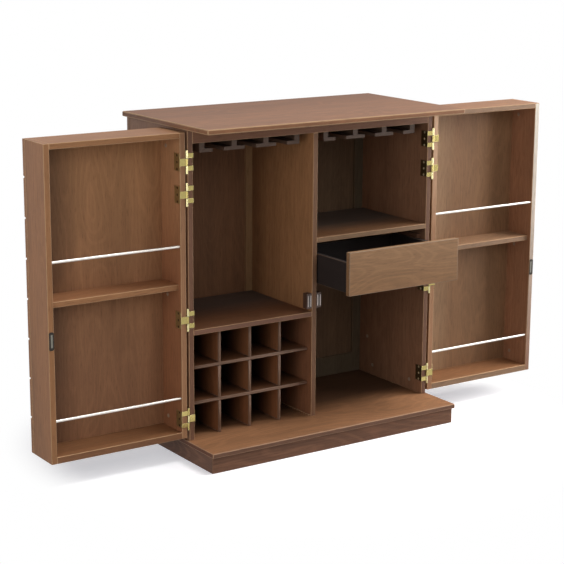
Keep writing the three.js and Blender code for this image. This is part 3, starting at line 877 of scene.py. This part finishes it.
def quads_between(rings, count, first=0):
    """Quads between each ring of count points and the next one, from the point numbered first."""
    row = first + np.arange(rings - 1)[:, None] * count
    here = np.arange(count)
    after = (here + 1) % count
    quads = np.stack([row + here, row + after, row + count + after, row + count + here], axis=-1)
    return quads.reshape(-1, 4)


def turned(profile, sides):
    """A surface of revolution about Z: each height and radius of the profile gives a ring at that
    height, x = radius cos(angle) and y = radius sin(angle). Heights rise. The end rings are closed.
    """
    height, radius = np.asarray(profile, dtype=float).T
    angle = np.arange(sides) * 2 * np.pi / sides
    x = radius[:, None] * np.cos(angle)
    y = radius[:, None] * np.sin(angle)
    z = np.repeat(height[:, None], sides, axis=1)
    points = np.stack([x, y, z], axis=-1).reshape(-1, 3)
    last = (len(height) - 1) * sides
    ends = [list(range(sides))[::-1], list(range(last, last + sides))]
    return points, quads_between(len(height), sides).tolist() + ends


# The cross recess, in shares of the screw's radius and rise: how far out it ends, the half width of
# an arm at which its wall begins to rise, the steepness of the wall, and its depth.
CROSS_END = 0.62
ARM_WIDTH = 0.085
WALL_RISE = 1.6
CROSS_DEPTH = 0.7


def screw_head(radius, rise, sides=24, rings=7):
    """A low domed disc with a cross recess. Its height is rise (1 - (r / radius) squared), less the
    recess, which is deepest along the two arms of the cross.
    """
    share = np.linspace(0.0, 1.0, rings + 1)[1:]
    angle = np.arange(sides) * 2 * np.pi / sides
    x = radius * share[:, None] * np.cos(angle)
    y = radius * share[:, None] * np.sin(angle)
    arm = np.minimum(np.abs(x), np.abs(y)) / radius
    inside = np.repeat(share[:, None] < CROSS_END, sides, axis=1)
    cut = np.clip(WALL_RISE - arm / ARM_WIDTH, 0.0, 1.0) * inside
    z = rise * (1 - share[:, None] ** 2) * np.ones_like(x) - CROSS_DEPTH * rise * cut
    rim = np.stack([x[-1], y[-1], np.full(sides, -rise)], axis=-1)
    dome = np.stack([x, y, z], axis=-1)
    middle = [[0.0, 0.0, (1 - CROSS_DEPTH) * rise]]
    points = np.concatenate([middle, dome.reshape(-1, 3), rim])
    here = np.arange(sides)
    after = (here + 1) % sides
    fan = np.stack([np.zeros(sides, dtype=int), 1 + here, 1 + after], axis=-1).tolist()
    quads = quads_between(rings + 1, sides, first=1)[:, TURNED_OVER].tolist()
    under = [(1 + rings * sides + here)[::-1].tolist()]
    return points, fan + quads + under


# The worn edge of a pressed plate, in shares of its thickness: how far under the face it begins,
# and how far in the face does.
WORN_DEPTH = 0.3
WORN_IN = 0.35
# Width, height, thickness and corner radius in millimetres: a catch's pole plate and a strike rib.
POLE_PLATE = (3.0, 32.0, 0.6, 0.5)
STRIKE_RIB = (5.0, 34.0, 0.5, 0.9)


def rounded_plate(size, steps=5):
    """A flat plate in X and Z with round corners, its face towards -Y: the outline is a quarter
    circle about each corner's centre, and two smaller rings make the worn edge of the face.
    """
    width, height, thickness, corner = (v * MM for v in size)
    quarter = np.linspace(0, np.pi / 2, steps)
    angle = np.concatenate([quarter + k * np.pi / 2 for k in range(4)])
    centre_x = (width / 2 - corner) * np.repeat([1, -1, -1, 1], steps)
    centre_z = (height / 2 - corner) * np.repeat([1, 1, -1, -1], steps)
    worn = ((thickness, 0.0), (WORN_DEPTH * thickness, 0.0), (0.0, WORN_IN * thickness))
    layers = []
    for depth, shrink in worn:
        x = centre_x + (corner - shrink) * np.cos(angle)
        z = centre_z + (corner - shrink) * np.sin(angle)
        layers.append(np.stack([x, np.full(len(angle), depth), z], axis=-1))
    here = np.arange(len(angle))
    quads = quads_between(len(worn), len(angle))[:, TURNED_OVER].tolist()
    ends = [here.tolist(), (here + 2 * len(angle))[::-1].tolist()]
    return np.concatenate(layers), quads + ends


# How a fitting's own axes lie when its Z looks along each way.
AIM = {
    "+x": ((0, 0, 1), (0, 1, 0), (-1, 0, 0)),
    "-x": ((0, 0, -1), (0, 1, 0), (1, 0, 0)),
    "+y": ((1, 0, 0), (0, 0, 1), (0, -1, 0)),
}
# The ways to the middle and away from it, by the sign of X.
INWARD = {-1: "+x", 1: "-x"}
OUTWARD = {-1: "-x", 1: "+x"}


def fitting(name, body, finish, shape, places, replaces=None):
    """One piece made of the shape at each place: a point and the way that the shape's Z looks."""
    points, faces = shape
    corners, sheets = [], []
    for count, (spot, way) in enumerate(places):
        laid = points @ np.array(AIM[way], dtype=float).T if way else points
        corners.append(laid + np.array(spot, dtype=float))
        sheets += [[corner + count * len(points) for corner in face] for face in faces]
    mesh = bpy.data.meshes.new(name)
    mesh.from_pydata(np.concatenate(corners).tolist(), [], sheets)
    mesh.shade_smooth()
    mesh.set_sharp_from_angle(angle=FITTING_CREASE)
    mesh.materials.append(FINISH[finish])
    piece = add_object(name, mesh)
    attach(piece, body)
    if replaces:
        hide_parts(replaces)


def middle_of(node):
    """The middle of a node's box."""
    return [(low + high) / 2 for low, high in zip(*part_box(node))]


def reach_of(node):
    """The least and the greatest distance of a node's box from the plane between the two sides."""
    return sorted(abs(corner.x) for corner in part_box(node))


# Sides of the rods and knobs, and of covers and washers.
ROUND = 48
SMALL_ROUND = 32
ROD_RADIUS = 3.7 * MM
ROD_CHAMFER = 0.5 * MM
ROD_END = ROD_RADIUS - ROD_CHAMFER
ROD_PROFILE = (ROD_END, ROD_RADIUS, ROD_RADIUS, ROD_RADIUS, ROD_END)


def fit_rods():
    """Steel rods with chamfered ends."""
    for side in SIGN:
        for rod in ("lower_rod", "upper_rod"):
            node = f"{side}_door_{rod}"
            low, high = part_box(node)
            length = high.x - low.x
            heights = (0.0, ROD_CHAMFER, length / 2, length - ROD_CHAMFER, length)
            shape = turned(list(zip(heights, ROD_PROFILE)), ROUND)
            spot = (low.x, *middle_of(node)[1:])
            finish = "polished steel rod"
            fitting(node + "_skin", side + "_door", finish, shape, [(spot, "+x")], node)


# A knob's rose, waist and shoulder: height and radius as shares of the whole. Its domed head begins
# above them, in this many rings, with this power of the cosine, up to a small flat.
KNOB_FOOT = (
    (0.0, 0.62),
    (0.05, 0.62),
    (0.09, 0.58),
    (0.12, 0.47),
    (0.2, 0.38),
    (0.35, 0.36),
    (0.46, 0.42),
    (0.52, 0.93),
)
KNOB_HEAD = 0.56
KNOB_RINGS = 9
KNOB_POWER = 0.7
KNOB_TIP = 0.02


def fit_knobs():
    """A turned knob: a rose on the door, a waist and a domed head."""
    angle = np.linspace(0.0, 1.0, KNOB_RINGS) * np.pi / 2
    rise = KNOB_HEAD + (1 - KNOB_HEAD) * np.sin(angle)
    dome = np.stack([rise, np.cos(angle) ** KNOB_POWER], axis=-1)
    dome[-1, 1] = KNOB_TIP
    for side in SIGN:
        node = side + "_door_knob"
        low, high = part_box(node)
        scale = (high.y - low.y, (high.x - low.x) / 2)
        shape = turned(np.concatenate([KNOB_FOOT, dome]) * scale, ROUND)
        x, _, z = middle_of(node)
        place = ((x, low.y, z), "+y")
        fitting(node + "_skin", side + "_door", "dark bronze", shape, [place], node)


SCREW_RADIUS = 3.4 * MM
SCREW_DOME = 0.35 * MM
SCREW_RISE = (-18.0, 0.0, 18.0)
SCREW_DEPTH = 13.0 * MM


def fit_hinge_screws():
    """Three countersunk screws in each hinge plate."""
    places = {"case": [], "left_door": [], "right_door": []}
    for side, sign in SIGN.items():
        for hinge in HINGES[side]:
            inner = reach_of(hinge + "_case_leaf")[0]
            outer = reach_of(hinge + "_door_leaf")[1]
            for rise in SCREW_RISE:
                y = CASE_FRONT + SCREW_DEPTH
                z = middle_of(hinge + "_case_leaf")[2] + rise * MM
                places["case"].append(((sign * inner, y, z), INWARD[sign]))
                places[side + "_door"].append(((sign * outer, y, z), OUTWARD[sign]))
    head = screw_head(SCREW_RADIUS, SCREW_DOME)
    for body, spots in places.items():
        # The doors' screws are darkened with painted shade.
        finish = "bright brass screw" if body == "case" else "brass screw with painted shade"
        fitting(body + "_hinge_screws", body, finish, head, spots)


# Height and radius along a cover's dome, and the Y and Z of the covers, all in millimetres.
COVER_DOME = ((-0.4, 5.4), (0.2, 5.4), (0.5, 5.0), (0.8, 3.2), (0.85, 0.2))
CASE_COVERS = ((181.4, 174.2), (153.3, 89.6), (-28.8, 89.4))
DOOR_COVERS = ((-13.2, 113.3), (-14.5, 851.5), (-16.1, 453.4))


def fit_cam_covers():
    """Round press-in covers over the joint fittings of the sides and of the door stiles."""
    cover = turned(np.array(COVER_DOME) * MM, SMALL_ROUND)
    finish = "grey fitting cover"
    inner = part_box("side_right")[0].x
    spots = [
        ((sign * inner, y * MM, z * MM), INWARD[sign]) for sign in (1, -1) for y, z in CASE_COVERS
    ]
    fitting("case_cam_covers", "case", finish, cover, spots)
    for side, sign in SIGN.items():
        body = side + "_door"
        hinge_face = reach_of(body + "_hinge_stile")[1]
        free_face = reach_of(body + "_free_stile")[0]
        spots = []
        for y, z in DOOR_COVERS:
            spots.append(((sign * hinge_face, y * MM, z * MM), OUTWARD[sign]))
            spots.append(((sign * free_face, y * MM, z * MM), INWARD[sign]))
        fitting(body + "_cam_covers", body, finish, cover, spots)


# Distances of a catch's two pole plates from the middle plane, in millimetres, and how far they and
# the strike ribs stand proud.
POLE_X = (11.6, 20.4)
POLE_PROUD = 0.25 * MM
RIB_PROUD = 0.2 * MM
RIB_INSET = 7.0 * MM
RIB_Z = 393.0 * MM


def fit_pole_plates():
    """Two steel pole plates on each catch, one at each side of its magnet."""
    plate = rounded_plate(POLE_PLATE)
    for side, sign in SIGN.items():
        node = "catch_" + side
        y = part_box(node)[0].y - POLE_PROUD
        z = middle_of(node)[2]
        spots = [((sign * x * MM, y, z), None) for x in POLE_X]
        fitting(node + "_poles", "case", "zinc-plated pole plate", plate, spots)


def fit_strike_ribs():
    """A pressed rib on each strike plate."""
    rib = rounded_plate(STRIKE_RIB)
    for side, sign in SIGN.items():
        body = side + "_door"
        stile = body + "_free_stile"
        x = sign * (reach_of(stile)[0] + RIB_INSET)
        spots = [((x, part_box(stile)[0].y - RIB_PROUD, RIB_Z), None)]
        # The rib's paler colour is a painted highlight.
        fitting(body + "_strike_rib", body, "nickel rib with painted highlight", rib, spots)


# Height and radius round a washer's rim, in millimetres, and its height above or below the hinge's
# middle.
WASHER_RIM = ((-0.7, 3.05), (-0.6, 3.3), (0.6, 3.3), (0.7, 3.05))
WASHER_RISE = 9.9 * MM
HINGE_AXIS_Y = -88.5 * MM


def fit_washers():
    """Black washers in the two gaps of each barrel, standing in for the shade in the gaps."""
    ring = turned(np.array(WASHER_RIM) * MM, SMALL_ROUND)
    for side, sign in SIGN.items():
        spots = []
        for hinge in HINGES[side]:
            middle = middle_of(hinge + "_case_leaf")[2]
            for rise in (-WASHER_RISE, WASHER_RISE):
                spots.append(((sign * HINGE_AXIS_X, HINGE_AXIS_Y, middle + rise), None))
        fitting(side + "_hinge_washers_with_gap_shade", "case", "black washer with painted gap shade", ring, spots)


# Camera, light and floor

# The photo's camera, solved from its corners: turn to the right, dip and roll in degrees, place in
# metres, focal length and picture width in pixels, sensor width in millimetres.
CAMERA_ANGLES = (33.8335, 13.1118, 0.3122)
CAMERA_PLACE = (-2.52296, -3.69007, 1.47007)
FOCAL_PIXELS = 1628.91
PICTURE_PIXELS = 564.0
SENSOR = 36.0

# Softboxes: turn and rise in degrees, distance and side in metres, power in watts.
LAMPS = {
    "far high softbox": (58, 68, 9.0, 3.4, 515),
    "near right softbox": (76, 18, 2.1, 1.7, 54),
    "front softbox": (12, 30, 4.2, 1.8, 26),
    "left softbox": (-50, 12, 4.2, 3.0, 25),
    "near left softbox": (-70, 10, 2.1, 2.0, 14.5),
    "back softbox": (-150, 50, 4.2, 1.6, 6),
    "low back softbox": (-172, 6, 4.2, 2.4, 50),
}
LAMP_AIM = Vector((0.0, -0.1, 0.45))
# What the white background gives to the wood, so that only the lamps light it.
BACKGROUND_FILL = 0.01
# Half the floor's side in metres.
FLOOR_HALF = 30.0


def place_camera():
    """Sets the camera by its angles and place."""
    turn, dip, roll = (math.radians(v) for v in CAMERA_ANGLES)
    level = math.cos(dip)
    ahead = Vector((math.sin(turn) * level, math.cos(turn) * level, -math.sin(dip)))
    level_right = Vector((math.cos(turn), -math.sin(turn), 0))
    level_up = level_right.cross(ahead)
    right = level_right * math.cos(roll) + level_up * math.sin(roll)
    up = level_up * math.cos(roll) - level_right * math.sin(roll)
    camera = add_object("camera", bpy.data.cameras.new("camera"))
    axes = Matrix((right, up, -ahead)).transposed().to_4x4()
    camera.matrix_world = Matrix.Translation(Vector(CAMERA_PLACE)) @ axes
    camera.data.sensor_width = SENSOR
    camera.data.lens = FOCAL_PIXELS * SENSOR / PICTURE_PIXELS
    camera.data.clip_start = 0.1
    camera.data.clip_end = 100.0
    bpy.context.scene.camera = camera


def softbox(name, turn, rise, reach, size, power):
    """A square softbox aimed at the armoire. Turn is counted from the front towards the right, rise
    from the floor.
    """
    lamp = bpy.data.lights.new(name, "AREA")
    lamp.shape = "RECTANGLE"
    lamp.size = lamp.size_y = size
    lamp.energy = power
    box = add_object(name, lamp)
    turn, rise = math.radians(turn), math.radians(rise)
    level = math.cos(rise)
    away = Vector((math.sin(turn) * level, -math.cos(turn) * level, math.sin(rise)))
    box.location = LAMP_AIM + away * reach
    box.rotation_mode = "QUATERNION"
    box.rotation_quaternion = away.to_track_quat("Z", "Y")
    box.visible_camera = False


def light_studio():
    """The softboxes and a background that is white to the eye and nearly dark to the wood."""
    for name, settings in LAMPS.items():
        softbox(name, *settings)
    world = bpy.data.worlds.new("studio")
    bpy.context.scene.world = world
    world.use_nodes = True
    tree = world.node_tree
    tree.nodes.clear()
    _, seen = white_to(tree)
    strength = put(tree, MAP_RANGE, Value=seen, To_Min=BACKGROUND_FILL)
    sky = put(tree, "ShaderNodeBackground", Color=(1.0, 1.0, 1.0, 1.0), Strength=strength)
    put(tree, "ShaderNodeOutputWorld", Surface=sky)


def lay_floor():
    """A wide floor, flat under the armoire."""
    mesh = bpy.data.meshes.new("studio_floor")
    ends = (-FLOOR_HALF, FLOOR_HALF)
    corners = [(x, y, 0) for x in ends for y in ends]
    mesh.from_pydata(corners, [], [(0, 2, 3, 1)])
    mesh.materials.append(material("white studio paper", studio_paper))
    add_object("studio_floor", mesh)


dress_boards()
dress_doors()
dress_metal()
fit_rods()
fit_knobs()
fit_hinge_screws()
fit_cam_covers()
fit_pole_plates()
fit_strike_ribs()
fit_washers()
place_camera()
light_studio()
lay_floor()
bpy.context.scene.view_settings.view_transform = "Standard"
